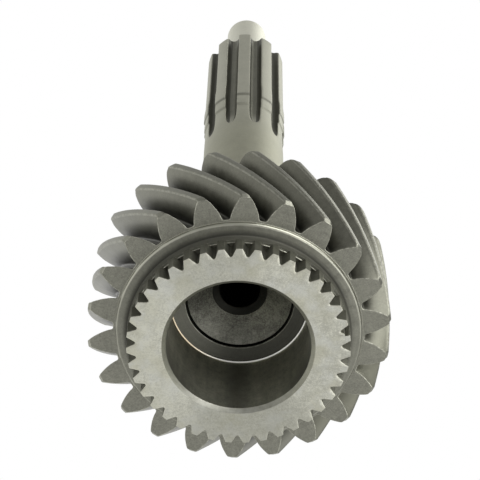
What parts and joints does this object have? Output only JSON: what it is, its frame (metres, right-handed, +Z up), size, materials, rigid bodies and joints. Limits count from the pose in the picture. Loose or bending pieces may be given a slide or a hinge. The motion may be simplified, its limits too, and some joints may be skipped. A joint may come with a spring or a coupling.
{
  "type": "input gear",
  "caption": "Manual gearbox input shaft with a left-hand helical gear, a dog clutch ring, a pilot bearing pocket, a splined clutch end and a pilot journal.",
  "frame": {"origin": "centre of the dog ring's ground face, on the shaft axis, at the foot of the part", "axes": "+Z up along the shaft from the ring face to the pilot journal, -Y towards the side that the picture looks on from"},
  "size_m": [0.09, 0.09, 0.2438],
  "materials": {
    "gear_steel": "satin case-hardened steel, ground on the ring face"
  },
  "bodies": {
    "root": {"input_gear": "gear_steel"}
  },
  "joints": []
}
